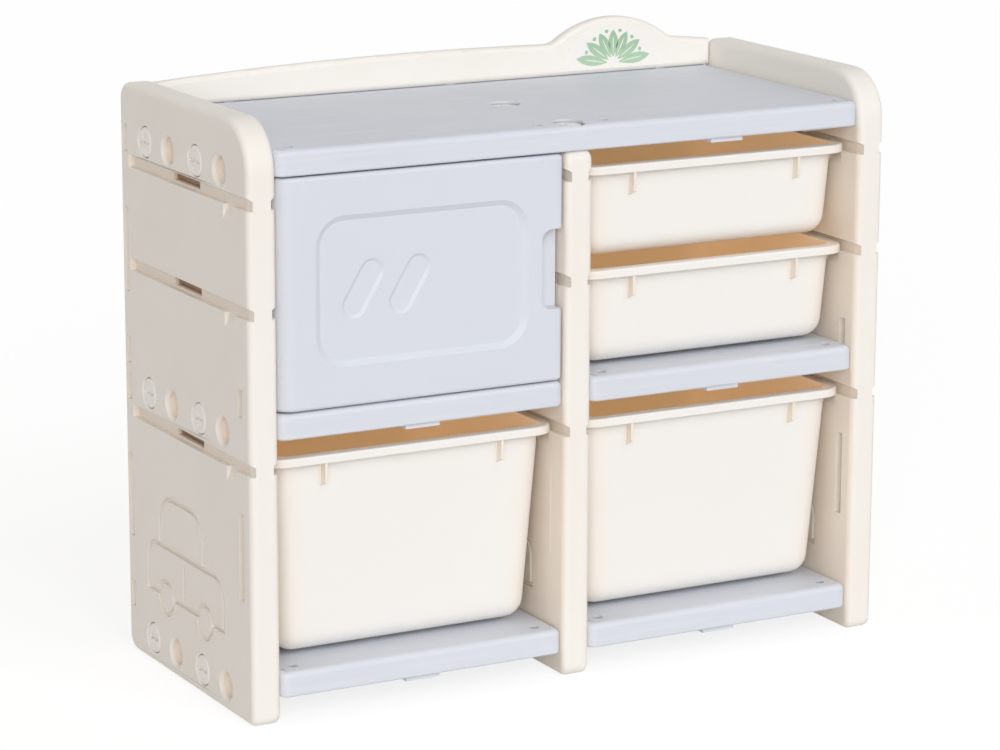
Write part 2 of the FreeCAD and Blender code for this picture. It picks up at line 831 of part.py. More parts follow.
def make_door(label):
    """The cupboard door. Its hinge edge is rounded about the pins, and its free edge has a finger notch."""
    body = new_body(label)
    left, right = size.door_hinge_gap - inner_face, -half_panel - size.door_free_gap
    bottom = middle_level + size.shelf_thickness + size.door_bottom_gap
    top = top_level - size.door_top_gap
    front, rear = -half_depth, size.door_thickness - half_depth
    outline = sketch_on(body, "XZ_Plane", "door_outline", half_depth)
    draw_rectangle(outline, left, right, bottom, top)
    pad(body, outline, size.door_thickness, reverse=True)
    round_edges(body, edges_at(body, x=left, y=front), size.hinge_radius)
    round_edges(body, edges_at(body, x=right, y=front), size.door_free_radius)
    rear_corners = edges_at(body, x=left, y=rear) + edges_at(body, x=right, y=rear)
    round_edges(body, rear_corners, size.door_rear_radius)
    round_edges(body, edges_at(body, z=top) + edges_at(body, z=bottom), size.door_edge_radius)
    cut_door_field(body, left, right, bottom, top)
    cut_finger_notch(body, right, (bottom + top) / 2)
    for z, from_top in ((top, True), (bottom, False)):
        bore = sketch_on(body, "XY_Plane", "pin_bore", z)
        draw_circle(bore, pivot_x, pivot_y, pin_bore_radius)
        pocket(body, bore, size.pin_door_length, reverse=not from_top)
    return body


def cut_door_field(body, left, right, bottom, top):
    """The sunk field in the door's front, with two leaning pill-shaped recesses in its floor."""
    steps = (ZERO, size.door_field_slope)
    depths = (half_depth, half_depth - size.door_field_depth)
    field = []
    for inset, offset in zip(steps, depths):
        sketch = sketch_on(body, "XZ_Plane", "door_field", offset)
        side = size.door_field_side_margin + inset
        rise = size.door_field_height_margin + inset
        radius = size.door_field_radius - inset
        draw_rounded_rectangle(sketch, left + side, right - side, bottom + rise, top - rise, radius)
        field.append(sketch)
    cut_loft(body, field)
    middle_x, middle_z = (left + right) / 2 - size.pill_offset, (bottom + top) / 2
    for shift in (-size.pill_pitch / 2, size.pill_pitch / 2):
        start = (middle_x + shift - size.pill_lean, middle_z - size.pill_half_length)
        end = (middle_x + shift + size.pill_lean, middle_z + size.pill_half_length)
        pill = []
        for inset, sink in ((ZERO, ZERO), (size.pill_slope, size.pill_depth)):
            sketch = sketch_on(body, "XZ_Plane", "pill", depths[1] - sink)
            draw_pill(sketch, start, end, size.pill_radius - inset)
            pill.append(sketch)
        cut_loft(body, pill)


def cut_finger_notch(body, right, middle_z):
    """A blind notch in the free edge, with a flared mouth and the door's back left as a flange."""
    notch = sketch_on(body, "XZ_Plane", "finger_notch", half_depth)
    low, high = middle_z - size.notch_height / 2, middle_z + size.notch_height / 2
    left, past = right - size.notch_width, right + size.overrun
    inner, flare = size.notch_radius, size.notch_flare
    draw_outline(notch, [
        (past, low - flare),
        (past, high + flare),
        (right, high + flare, -flare),
        (right - flare, high),
        (left + inner, high, inner),
        (left, high - inner),
        (left, low + inner, inner),
        (left + inner, low),
        (right - flare, low, -flare),
        (right, low - flare),
    ])
    pocket(body, notch, size.notch_depth)


def make_pin(label, shelf_face, door_edge, upward):
    """A hinge pin, fixed in the door and free to turn in the board above or below it."""
    pin = doc.addObject("Part::Cylinder", label)
    pin.Label = label
    length = size.pin_shelf_length + size.pin_door_length
    if upward:
        foot, gap = door_edge - size.pin_door_length, shelf_face - door_edge
    else:
        foot, gap = shelf_face - size.pin_shelf_length, door_edge - shelf_face
    bind(pin, Radius=size.pin_radius, Height=length + gap)
    put(pin, pivot_x, pivot_y, foot)
    return pin


def add_wedge(body, kind, half_x, half_y, foot, inset):
    """A drafted block, inset from the rim's outer edge. Returns the ends of its upright edges."""
    low = inset - foot * BIN_DRAFT_SHARE
    high = inset - size.rim_height * BIN_DRAFT_SHARE
    feature = body.newObject(f"PartDesign::{kind}Wedge", "tub")
    feature.AttachmentSupport = [(origin_plane(body, "XZ_Plane"), "")]
    feature.MapMode = "FlatFace"
    bind(
        feature,
        Ymin=foot,
        Xmin=low - half_x, Xmax=half_x - low,
        Zmin=low - half_y, Zmax=half_y - low,
        Ymax=size.rim_height,
        X2min=high - half_x, X2max=half_x - high,
        Z2min=high - half_y, Z2max=half_y - high,
    )
    finish_feature(body, feature)
    corners = []
    for x_sign in (-1, 1):
        for y_sign in (-1, 1):
            ends = [
                FreeCAD.Vector(x_sign * (half_x - gap).value, y_sign * (half_y - gap).value, z.value)
                for gap, z in ((low, foot), (high, size.rim_height))
            ]
            corners.append(ends)
    return corners


def make_bin(label, side, ledge, foot):
    """A drafted bin whose hollow rim rides on the ledges of two grooves. Its rim's underside is at z = 0."""
    depth = size.overall_depth - size.bin_front_setback - size.bin_rear_gap
    rim_foot = ledge + size.runner_clearance
    centre_y = size.bin_front_setback + depth / 2 - half_depth
    body = new_body(label, x=bay_centre * side, y=centre_y, z=rim_foot)
    half_x, half_y = bay_width / 2 + size.rim_engagement, depth / 2
    wall = size.bin_wall
    outer_foot = foot - rim_foot
    inner_foot = outer_foot + wall
    outer_corners = add_wedge(body, "Additive", half_x, half_y, outer_foot, size.rim_overhang)
    inner_corners = add_wedge(body, "Subtractive", half_x, half_y, inner_foot, size.rim_overhang + wall)
    round_edges(body, edges_between(body, inner_corners), size.bin_corner_radius - wall)
    round_edges(body, edges_at(body, z=inner_foot), size.bin_foot_radius - wall)
    round_edges(body, edges_between(body, outer_corners), size.bin_corner_radius)
    round_edges(body, edges_at(body, z=outer_foot), size.bin_foot_radius)
    add_rim(body, half_x, half_y)
    add_rim_ribs(body, half_y)
    return body


def add_rim(body, half_x, half_y):
    """A flat rim with a skirt that turns down round its outer edge."""
    wall = size.bin_wall
    plate = sketch_on(body, "XY_Plane", "rim_plate", size.rim_height)
    skirt = sketch_on(body, "XY_Plane", "rim_skirt")
    for sketch, inset, trim in (
        (plate, ZERO, ZERO),
        (plate, size.rim_overhang + wall / 2, wall / 2),
        (skirt, ZERO, ZERO),
        (skirt, wall, wall),
    ):
        radius = size.bin_corner_radius - trim
        draw_rounded_rectangle(sketch, inset - half_x, half_x - inset, inset - half_y, half_y - inset, radius)
    pad(body, plate, size.rim_thickness, reverse=True)
    pad(body, skirt, size.rim_height - size.rim_thickness / 2)
    round_edges(body, edges_at(body, z=size.rim_height), size.rim_edge_radius)


def add_rim_ribs(body, half_y):
    """Two upright ribs that brace the front of the rim against the tub."""
    front = size.bin_wall - half_y
    top = size.rim_height - size.rim_thickness
    foot = -size.rib_drop - size.rib_slope

    def wall_middle(z):
        return size.rim_overhang + size.bin_wall / 2 - z * BIN_DRAFT_SHARE - half_y

    for x in (-size.rib_offset, size.rib_offset):
        profile = sketch_on(body, "YZ_Plane", "rim_rib", x)
        draw_outline(profile, [
            (front, -size.rib_drop),
            (wall_middle(foot), foot),
            (wall_middle(top), top),
            (front, top),
        ])
        pad(body, profile, size.rib_width, side="Symmetric")


def make_bolt(label, shank_length):
    """A plastic bolt along -Z, the top of its head at z = 0, with a cross slot in the head."""
    body = new_body(label)
    profile = sketch_on(body, "XZ_Plane", "bolt_profile")
    head, shank = size.bolt_head_radius, size.bolt_shank_radius
    tip = -size.bolt_head_height - shank_length
    draw_outline(profile, [
        (ZERO, ZERO),
        (ZERO, tip),
        (shank - size.bolt_tip_chamfer, tip),
        (shank, tip + size.bolt_tip_chamfer),
        (shank, -size.bolt_head_height),
        (head, -size.bolt_head_height),
        (head, -size.bolt_head_chamfer),
        (head - size.bolt_head_chamfer, ZERO),
    ])
    turned = body.newObject("PartDesign::Revolution", "turned_bolt")
    turned.Profile = profile
    turned.ReferenceAxis = (profile, ["V_Axis"])
    finish_feature(body, turned)
    half_slot, half_length = size.bolt_slot_width / 2, size.bolt_slot_length / 2
    for across, along in ((half_length, half_slot), (half_slot, half_length)):
        slot = sketch_on(body, "XY_Plane", "cross_slot")
        draw_rectangle(slot, -across, across, -along, along)
        pocket(body, slot, size.bolt_slot_depth)
    return body


def make_bolt_group(label, bolt, heading, places):
    """A group of like bolts, driven along the heading, the tops of their heads at the places."""
    group = doc.addObject("Part::Compound", label)
    group.Label = label
    links = []
    for number, place in enumerate(places):
        link = doc.addObject("App::Link", f"{label}_{number}")
        link.LinkedObject = bolt
        link.LinkTransform = True
        turn = FreeCAD.Rotation(FreeCAD.Vector(0, 0, -1), FreeCAD.Vector(*heading))
        link.Placement = FreeCAD.Placement(FreeCAD.Vector(0, 0, 0), turn)
        put(link, *place)
        links.append(link)
    group.Links = links
    doc.recompute()
    return group


def make_bolts():
    side_bolt = make_bolt("panel_bolt", size.panel_thickness - size.bolt_head_height + size.bolt_engagement)
    top_head_foot = size.shelf_thickness - size.top_bolt_sink - size.bolt_head_height
    top_bolt = make_bolt("top_bolt", top_head_foot + size.top_bolt_engagement)
    top_places = [(ZERO, y, top_face - size.top_bolt_sink) for y in top_bolt_places]
    all_rows = (bottom_level, middle_level, top_level)
    shelf_rows = (bottom_level, middle_level)

    rightward, leftward, downward = (1, 0, 0), (-1, 0, 0), (0, 0, -1)

    def side_group(label, heading, x, offsets, levels):
        return make_bolt_group(label, side_bolt, heading, [(x, y, z) for y, z in bolt_rows(offsets, levels)])

    return [
        side_group("left_panel_bolts", rightward, -half_width, left_end_bolts, all_rows),
        side_group("right_panel_bolts", leftward, half_width, right_end_bolts, all_rows),
        side_group("centre_left_bolts", rightward, -half_panel, left_end_bolts, shelf_rows),
        side_group("centre_right_bolts", leftward, half_panel, right_end_bolts, shelf_rows),
        make_bolt_group("top_board_bolts", top_bolt, downward, top_places),
    ]


def make_shelves():
    shelves = [
        make_shelf(f"{side_name}_{row_name}_shelf", side, level)
        for row_name, level in (("bottom", bottom_level), ("middle", middle_level))
        for side_name, side in (("left", -1), ("right", 1))
    ]
    for body in shelves:
        if body.Label == "left_middle_shelf":
            cut_pin_socket(body, pivot_x + bay_centre, from_top=True)
    return shelves


def make_bins():
    bottom_shelf_top = bottom_level + size.shelf_thickness
    middle_shelf_top = middle_level + size.shelf_thickness
    lower_rim_top = middle_ledge + size.runner_clearance + size.rim_height
    return [
        make_bin("left_deep_bin", -1, lower_ledge, bottom_shelf_top + size.bin_floor_gap),
        make_bin("right_deep_bin", 1, lower_ledge, bottom_shelf_top + size.bin_floor_gap),
        make_bin("lower_shallow_bin", 1, middle_ledge, middle_shelf_top + size.bin_floor_gap),
        make_bin("upper_shallow_bin", 1, upper_ledge, lower_rim_top + size.bin_stack_gap),
    ]


def make_parts():
    middle_shelf_top = middle_level + size.shelf_thickness
    return [
        make_side_panel("left_side_panel", -1),
        make_side_panel("right_side_panel", 1),
        make_centre_panel("centre_panel"),
        make_top_board("top_board"),
        *make_shelves(),
        make_back_rail("back_rail"),
        make_motif_plate("motif_plate"),
        make_door("door"),
        make_pin("upper_hinge_pin", top_level, top_level - size.door_top_gap, upward=True),
        make_pin("lower_hinge_pin", middle_shelf_top, middle_shelf_top + size.door_bottom_gap, upward=False),
        *make_bins(),
        *make_bolts(),
    ]


def check_document():
    for item in doc.Objects:
        if {"Invalid", "Error"} & set(item.State):
            raise ValueError(f"{item.Name} failed: {item.State}")


def write_parts(parts):
    os.makedirs("parts", exist_ok=True)
    for part in parts:
        if part.Shape.isNull() or not part.Shape.isValid():
            raise ValueError(f"{part.Label} has no valid shape")
    for part in parts:
        part.Shape.exportStep(os.path.join("parts", f"{part.Label}.step"))


sub_parts = make_parts()
doc.recompute()
check_document()
write_parts(sub_parts)
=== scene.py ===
"""The looks of a child's toy shelf: moulded plastics, bins, a leaf fan on its plate, and a plain studio."""
import math

import bmesh
import bpy
from mathutils import Euler, Matrix, Vector


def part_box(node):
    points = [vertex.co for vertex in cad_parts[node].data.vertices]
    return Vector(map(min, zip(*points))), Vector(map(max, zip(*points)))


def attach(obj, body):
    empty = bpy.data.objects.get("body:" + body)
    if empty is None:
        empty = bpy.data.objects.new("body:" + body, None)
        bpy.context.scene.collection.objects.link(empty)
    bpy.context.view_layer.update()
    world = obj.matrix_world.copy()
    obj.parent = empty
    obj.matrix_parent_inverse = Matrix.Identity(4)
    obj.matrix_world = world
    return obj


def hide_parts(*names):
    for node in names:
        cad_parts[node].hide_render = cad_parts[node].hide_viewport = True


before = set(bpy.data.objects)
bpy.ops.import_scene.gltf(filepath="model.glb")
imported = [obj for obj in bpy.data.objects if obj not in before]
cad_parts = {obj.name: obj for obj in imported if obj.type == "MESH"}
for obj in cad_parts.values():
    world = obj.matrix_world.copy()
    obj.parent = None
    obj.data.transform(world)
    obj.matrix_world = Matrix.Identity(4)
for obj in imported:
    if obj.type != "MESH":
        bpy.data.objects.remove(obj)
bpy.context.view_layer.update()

# nodes that are alike
PANELS = ("centre_panel", "left_side_panel", "right_side_panel")
BOARDS = ("top_board", "left_bottom_shelf", "right_bottom_shelf", "left_middle_shelf", "right_middle_shelf")
BOLTS_AND_PINS = (
    "left_panel_bolts", "right_panel_bolts", "centre_left_bolts", "centre_right_bolts", "top_board_bolts",
    "upper_hinge_pin", "lower_hinge_pin",
)
BIN_SIZES = ("left_deep", "right_deep", "lower_shallow", "upper_shallow")

# the bins: wall, lean of the walls, rim, rounded corners and foot, and the two ribs under the front rim
BIN_WALL = 0.0025
BIN_DRAFT = 0.060
RIM_OVERHANG = 0.0124
RIM_HEIGHT = 0.010
RIM_PLATE = 0.003
RIM_ROUND = 0.002
RIM_CORNER = 0.030
TUB_CORNER = 0.025
FOOT_ROUND = 0.022
RIB_OFFSET = 0.115
RIB_WIDTH = 0.0036
RIB_DROP = 0.023
RIB_SLANT = 0.007
RIB_LEAN = 0.0006
RIB_BITE = 0.001
SKIRT_EDGE = 0.0004
# how far in from each end of a bin the painted glow and painted light reach
GLOW_END_REACH = 0.045

# a bin's mesh: steps in a quarter turn, and how near to a curve the flats get a row of points of their own,
# which keeps their shading flat
CORNER_STEPS = 8
ROUND_STEPS = 6
FLAT_ROW = 0.005
NEAR_ROW = 0.001
SHARP_ANGLE = 38

# the lip from the rim into the bin: how far before the wall, how much tighter the corner, and how far down
LIP_ROWS = ((0.002, 0.0005, 0.0), (0.001, 0.0015, 0.0), (0.0003, 0.0022, 0.0003))

# how near two points of a moulding are to count as one, and how near a level is to count as met
MERGE_WITHIN = 0.000002
LEVEL_SLACK = 0.00005

# the boards: the heights of their tops, and what is moved on them
BOARD_TOPS = (0.060, 0.364, 0.666)
BOARD_FRONT_ZONE = -0.1625
BOARD_FRONT_REACH = 0.009
DIMPLE_DEPTH = 0.004
DIMPLE_DEEPER = 0.004
DIMPLE_MIDDLE = 0.0065
DIMPLES_WITHIN = (0.376, 0.1635)

# the rail: its foot, the height up to which its ends are rounded, and how far its foot comes down
RAIL_FOOT = 0.668
RAIL_ROUND_TOP = 0.674
RAIL_DROP = 0.0016

# the panels: half of their thickness, where the side panels' middles stand, how far from the middle of the
# shelf a face can be the divider's, and where the relief and the bays end
HALF_PANEL = 0.018
PANEL_MIDDLE = 0.407
DIVIDER_ZONE = 0.1
RELIEF_HALF_DEPTH = 0.167
RELIEF_FOOT = 0.006
RELIEF_TOP = 0.662
BAY_TOP = 0.640

# the panels' relief: its depth in the frame, and the depth that it gets here
CAR_LINE = 0.0022
SLOT = 0.0050
FLOOR_POCKET = 0.0120
DEEPER = {CAR_LINE: 0.0040, SLOT: 0.0085, FLOOR_POCKET: 0.0160}
FILLED_SLOT = 0.0004
DEEPENED_HALF_DEPTH = 0.172
DEEPENED_TOP = 0.66

# the unused bolt recesses of the side panels: places, reach, and new radius and depth by depth in the frame
RECESS_ROWS = (0.031, 0.335, 0.637)
UNUSED_RECESSES = {
    "centre_panel": (),
    "left_side_panel": (-0.105, 0.0385),
    "right_side_panel": (0.105, -0.0385),
}
RECESS_REACH = 0.0206
RECESS_DEPTH = 0.0071
RECESS_RIMS = {0.0: (0.0192, 0.0), 0.0015: (0.0157, 0.0035)}
RECESS_FLOOR = (0.0157, 0.0103)

# the plate, and the leaf fan on it: its foot, its middle, its height, and how far it is let in
PLATE_LOW, PLATE_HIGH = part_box("motif_plate")
FAN_FOOT = PLATE_LOW.z + 0.0062
FAN_MIDDLE = (PLATE_LOW.x + PLATE_HIGH.x) / 2
FAN_HEIGHT = 0.045
FAN_SINK = 0.0001

# the studio: the light from all round, the floor's own brightness to the camera, and the floor's half width
ROOM_LIGHT = 0.44
FLOOR_GLOW = 0.79
FLOOR_REACH = 40.0


def rgb(red, green, blue):
    return (red, green, blue, 1.0)


CREAM = rgb(0.900, 0.866, 0.808)
CREAM_WARM = rgb(0.888, 0.838, 0.765)
# painted shade for the panels' grooves, slots and recesses
CREAM_RECESS_SHADE = rgb(0.780, 0.640, 0.520)
# painted warm bounce light for the panels' faces towards the bays
CREAM_BOUNCE_LIGHT = rgb(0.930, 0.790, 0.650)
# painted dark shade for the deep floor pockets
POCKET_SHADE_BROWN = rgb(0.420, 0.270, 0.170)
BIN_CREAM = rgb(0.900, 0.880, 0.842)
# painted warm shade for the bins' ribs and painted light near the bins' ends
BIN_PEACH_SHADE_AND_GLOW = rgb(0.930, 0.805, 0.670)
# painted warm shade inside the bins
BIN_INSIDE_SHADE = rgb(0.815, 0.660, 0.480)
# painted glow inside the bins, which are no lamp, brighter near their ends
BIN_PAINTED_GLOW = rgb(0.106, 0.062, 0.023)
BIN_PAINTED_GLOW_END = rgb(0.175, 0.103, 0.048)
NO_GLOW = rgb(0.0, 0.0, 0.0)
BLUE_GREY = rgb(0.700, 0.730, 0.788)
BLUE_GREY_DEEP = rgb(0.668, 0.700, 0.764)
BLUE_GREY_PALE = rgb(0.745, 0.768, 0.812)
# painted shade for the boards' dimples
DIMPLE_SHADE_GREY = rgb(0.430, 0.445, 0.480)
BOLT_WHITE = rgb(0.920, 0.900, 0.860)
PLATE_WHITE = rgb(0.905, 0.885, 0.840)
LEAF_GREEN = rgb(0.335, 0.515, 0.345)
LEAF_PALE = rgb(0.470, 0.640, 0.455)
PAPER = rgb(0.80, 0.79, 0.78)
PAPER_SHADE = rgb(0.30, 0.30, 0.30)
ROOM_WARM = rgb(1.0, 0.955, 0.925)
WHITE = rgb(1.0, 1.0, 1.0)


class Wire:
    """A node's output, which can stand in a sum."""

    def __init__(self, bench, socket):
        self.bench = bench
        self.socket = socket

    def other(self, name):
        """Another output of the same node."""
        return Wire(self.bench, self.socket.node.outputs[name])

    def math(self, operation, *values):
        return self.bench.node("ShaderNodeMath", {"operation": operation}, dict(enumerate(values)))

    def __add__(self, value):
        return self.math("ADD", self, value)

    def __radd__(self, value):
        return self.math("ADD", value, self)

    def __sub__(self, value):
        return self.math("SUBTRACT", self, value)

    def __rsub__(self, value):
        return self.math("SUBTRACT", value, self)

    def __mul__(self, value):
        return self.math("MULTIPLY", self, value)

    def __rmul__(self, value):
        return self.math("MULTIPLY", value, self)

    def __truediv__(self, value):
        return self.math("DIVIDE", self, value)

    def __rtruediv__(self, value):
        return self.math("DIVIDE", value, self)

    def __abs__(self):
        return self.math("ABSOLUTE", self)

    def at_least(self, value):
        return self.math("MAXIMUM", self, value)

    def at_most(self, value):
        return self.math("MINIMUM", self, value)

    def between(self, low, high):
        """0 below low, 1 above high, and a smooth rise from one to the other."""
        return self.bench.node("ShaderNodeMapRange", {"interpolation_type": "SMOOTHSTEP"},
                               {"Value": self, "From Min": low, "From Max": high})


class Bench:
    """A node tree, built one node at a time."""

    def __init__(self, tree):
        self.tree = tree

    def node(self, kind, settings=None, inputs=None, output=0):
        """One node: its type, its settings, and the values or wires of its sockets."""
        made = self.tree.nodes.new(kind)
        for name, value in (settings or {}).items():
            setattr(made, name, value)
        for key, value in (inputs or {}).items():
            if isinstance(value, Wire):
                self.tree.links.new(value.socket, made.inputs[key])
            else:
                made.inputs[key].default_value = value
        return Wire(self, made.outputs[output] if len(made.outputs) else None)

    def split(self, vector):
        """The x of a vector, whose other outputs are Y and Z."""
        return self.node("ShaderNodeSeparateXYZ", {}, {0: vector})

    def place(self):
        """The point on the piece, in metres."""
        return self.node("ShaderNodeTexCoord", output="Object")

    def facing(self):
        """The direction that the surface faces."""
        return self.node("ShaderNodeNewGeometry", output="Normal")

    def stretched(self, x, y, z):
        """The point with each direction scaled, for grain that runs one way."""
        return self.node("ShaderNodeMapping", {}, {"Vector": self.place(), "Scale": (x, y, z)})

    def noise(self, scale, detail=2.0, roughness=0.5, where=None):
        return self.node("ShaderNodeTexNoise", {}, {
            "Vector": where or self.place(), "Scale": scale, "Detail": detail, "Roughness": roughness})

    def blend(self, share, first, second):
        """One colour over another."""
        return self.node("ShaderNodeMix", {"data_type": "RGBA"}, {0: share, 6: first, 7: second}, 2)

    def bump(self, height, depth, normal=None):
        inputs = {"Height": height, "Distance": depth, "Strength": 1.0}
        if normal:
            inputs["Normal"] = normal
        return self.node("ShaderNodeBump", {}, inputs)


def plastic(name, draw, gloss, **fixed):
    """A moulded plastic: draw(bench) gives what varies over it, gloss is its specular level."""
    finish = bpy.data.materials.new(name)
    finish.use_nodes = True
    bench = Bench(finish.node_tree)
    finish.node_tree.nodes.clear()
    sockets = {"Specular IOR Level": gloss, **fixed, **draw(bench)}
    shader = bench.node("ShaderNodeBsdfPrincipled", {}, sockets)
    bench.node("ShaderNodeOutputMaterial", {}, {"Surface": shader})
    return finish


def moulded_surface(bench, grain, grain_depth, sag, sag_depth):
    """A slow unevenness of the wall under a fine spark-eroded grain."""
    wall = bench.bump(bench.noise(sag, 1.0), sag_depth)
    return bench.bump(bench.noise(grain, 3.0), grain_depth, wall)


def draw_blown_cream(bench):
    """Cream, warmer with painted bounce light on the faces towards the bays, darker with painted shade down
    in the grooves, slots and recesses, and darkest in the floor pockets.
    """
    mottle = bench.noise(7.0, 3.0).between(0.35, 0.75)
    speckle = bench.noise(420.0, 2.0).between(0.55, 0.85)
    tone = bench.blend(mottle * 0.55 + speckle * 0.12, CREAM, CREAM_WARM)
    place = bench.split(bench.place())
    facing = bench.split(bench.facing())
    depth, height = place.other("Y"), place.other("Z")
    aside = abs(place)
    sunk = HALF_PANEL - aside.at_most(abs(aside - PANEL_MIDDLE))
    inland = (RELIEF_HALF_DEPTH - abs(depth)).between(0.0, 0.004)
    inland = inland * (RELIEF_TOP - height).between(0.0, 0.003)
    inland = inland * height.between(RELIEF_FOOT, RELIEF_FOOT + 0.004)
    outward = (facing * place).between(-0.30, -0.15)
    divider = (DIVIDER_ZONE - aside).between(0.0, 0.01) * abs(facing).between(0.6, 0.9)
    # painted warm bounce light on the panels' faces towards the bays
    bay_bounce_light = (1 - outward).at_least(divider) * (BAY_TOP - height).between(0.0, 0.01)
    tone = bench.blend(bay_bounce_light * 0.55, tone, CREAM_BOUNCE_LIGHT)
    # painted shade down in the grooves, slots and recesses, stronger with depth
    tone = bench.blend(sunk.between(0.001, 0.009) * inland * 0.45, tone, CREAM_RECESS_SHADE)
    return {
        # painted dark shade in the deep floor pockets
        "Base Color": bench.blend(sunk.between(0.0105, 0.013) * inland * 0.9, tone, POCKET_SHADE_BROWN),
        "Roughness": 0.46 + bench.noise(23.0, 2.0) * 0.14,
        "Normal": moulded_surface(bench, 950.0, 0.00006, 11.0, 0.0009),
    }


def bin_finish(name, low, high):
    """The finish of one bin: pale outside; inside it, a painted warm shade and a painted glow stand in for
    light coming through its thin walls, stronger near its ends, and its ribs get painted warm shade.
    """
    middle = (low + high) / 2
    reach = RIM_OVERHANG + BIN_WALL / 2 - RIM_HEIGHT * BIN_DRAFT
    half_x = (high.x - low.x) / 2 - reach
    half_y = (high.y - low.y) / 2 - reach

    def draw(bench):
        place = bench.split(bench.place())
        facing = bench.split(bench.facing())
        height = place.other("Z")
        across = place - middle.x
        along = place.other("Y") - middle.y
        lean = (high.z - height) * BIN_DRAFT
        within = (half_x - lean - abs(across)).between(0.0, 0.001)
        within = within * (half_y - lean - abs(along)).between(0.0, 0.001)
        inward = across * facing + along * facing.other("Y")
        wall_inside = 1 - inward.between(-0.02, -0.005)
        floor_inside = facing.other("Z").between(0.3, 0.7)
        inside = wall_inside.at_least(floor_inside) * within
        # painted warm shade on the sides of the two ribs
        rib = (RIB_WIDTH - abs(abs(across) - RIB_OFFSET)).between(0.0010, 0.0016)
        rib = rib * (abs(along) - (half_y - lean) - BIN_WALL / 2).between(0.0003, 0.0012)
        rib = rib * (high.z - RIM_HEIGHT - height).between(-0.001, 0.0)
        # painted light near each end of the bin: a paler colour and a stronger glow
        glow_at_end = (abs(across) - (half_x - lean - GLOW_END_REACH)).between(0.0, GLOW_END_REACH)
        cloud = bench.noise(9.0, 2.0).between(0.3, 0.8)
        tone = bench.blend(cloud * 0.3, BIN_CREAM, CREAM)
        tone = bench.blend(rib.at_least(glow_at_end * 0.55) * 0.75, tone, BIN_PEACH_SHADE_AND_GLOW)
        glow = bench.blend(glow_at_end, BIN_PAINTED_GLOW, BIN_PAINTED_GLOW_END)
        return {
            # painted warm shade inside the bin
            "Base Color": bench.blend(inside * 0.52, tone, BIN_INSIDE_SHADE),
            # painted glow inside the bin, though it is no lamp
            "Emission Color": bench.blend(inside, NO_GLOW, glow),
            "Roughness": 0.36 + bench.noise(31.0, 2.0) * 0.12,
            "Normal": moulded_surface(bench, 1300.0, 0.00004, 9.0, 0.0006),
        }

    return plastic(name, draw, 0.45, **{"Emission Strength": 1.0})


def draw_board_blue(bench):
    """Blue-grey board with the pale lines that a mould's steel leaves along its length, and painted shade in
    its dimples.
    """
    lines = bench.noise(1.0, 3.0, 0.6, bench.stretched(7.0, 60.0, 190.0)).between(0.45, 0.7)
    cloud = bench.noise(6.0, 3.0).between(0.3, 0.75)
    tone = bench.blend(cloud * 0.4, BLUE_GREY, BLUE_GREY_DEEP)
    tone = bench.blend(lines * 0.5, tone, BLUE_GREY_PALE)
    place = bench.split(bench.place())
    from_dimples = 1.0
    for top in BOARD_TOPS:
        from_dimples = abs(place.other("Z") - (top - DIMPLE_MIDDLE)).at_most(from_dimples)
    half_width, half_depth = DIMPLES_WITHIN
    inland = (half_depth - abs(place.other("Y"))).between(0.0, 0.001)
    inland = inland * (half_width - abs(place)).between(0.0, 0.002)
    # painted shade in the dimples
    dimple_shade = (1 - from_dimples.between(0.003, 0.0055)) * inland
    return {
        "Base Color": bench.blend(dimple_shade * 0.75, tone, DIMPLE_SHADE_GREY),
        "Roughness": 0.40 + bench.noise(19.0, 2.0) * 0.15,
        "Normal": moulded_surface(bench, 900.0, 0.00007, 13.0, 0.0008),
    }


def draw_door_blue(bench):
    """The boards' blue-grey with fainter lines, on the door's flat moulding."""
    cloud = bench.noise(5.0, 3.0).between(0.3, 0.75)
    lines = bench.noise(1.0, 3.0, 0.6, bench.stretched(4.0, 30.0, 120.0)).between(0.5, 0.85)
    tone = bench.blend(cloud * 0.35, BLUE_GREY, BLUE_GREY_DEEP)
    return {
        "Base Color": bench.blend(lines * 0.12, tone, BLUE_GREY_PALE),
        "Roughness": 0.42 + bench.noise(17.0, 2.0) * 0.14,
        "Normal": moulded_surface(bench, 900.0, 0.00006, 8.0, 0.0009),
    }


def draw_bolt_white(bench):
    """The bolts' and hinge pins' off-white, a little clouded."""
    cloud = bench.noise(120.0, 2.0).between(0.3, 0.8)
    return {
        "Base Color": bench.blend(cloud * 0.5, BOLT_WHITE, CREAM),
        "Roughness": 0.34 + bench.noise(200.0, 2.0) * 0.16,
        "Normal": bench.bump(bench.noise(1500.0, 2.0), 0.00005),
    }


def draw_plate_white(bench):
    """The smooth off-white of the plate and of the leaves' veins."""
    cloud = bench.noise(45.0, 2.0).between(0.3, 0.8)
    return {
        "Base Color": bench.blend(cloud * 0.35, PLATE_WHITE, CREAM),
        "Roughness": 0.30 + bench.noise(60.0, 2.0) * 0.10,
        "Normal": bench.bump(bench.noise(700.0, 2.0), 0.00003),
    }


def draw_leaf_green(bench):
    """Printed green that pales towards the foot of the fan."""
    height = bench.split(bench.place()).other("Z")
    grain = bench.noise(900.0, 2.0)
    share = (1 - height.between(FAN_FOOT, FAN_FOOT + FAN_HEIGHT)) * 0.75 + grain * 0.18
    return {
        "Base Color": bench.blend(share, LEAF_GREEN, LEAF_PALE),
        "Roughness": 0.38 + grain * 0.12,
        "Normal": bench.bump(grain, 0.00003),
    }


def dress(node_names, finish):
    """Gives a finish to mouldings of the frame."""
    for node_name in node_names:
        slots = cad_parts[node_name].data.materials
        slots.clear()
        slots.append(finish)


def stand_in(mesh, finish, node_name, body):
    """Puts a mesh in the place of a moulding of the frame."""
    mesh.materials.append(finish)
    piece = bpy.data.objects.new(mesh.name, mesh)
    bpy.context.collection.objects.link(piece)
    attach(piece, body)
    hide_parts(node_name)


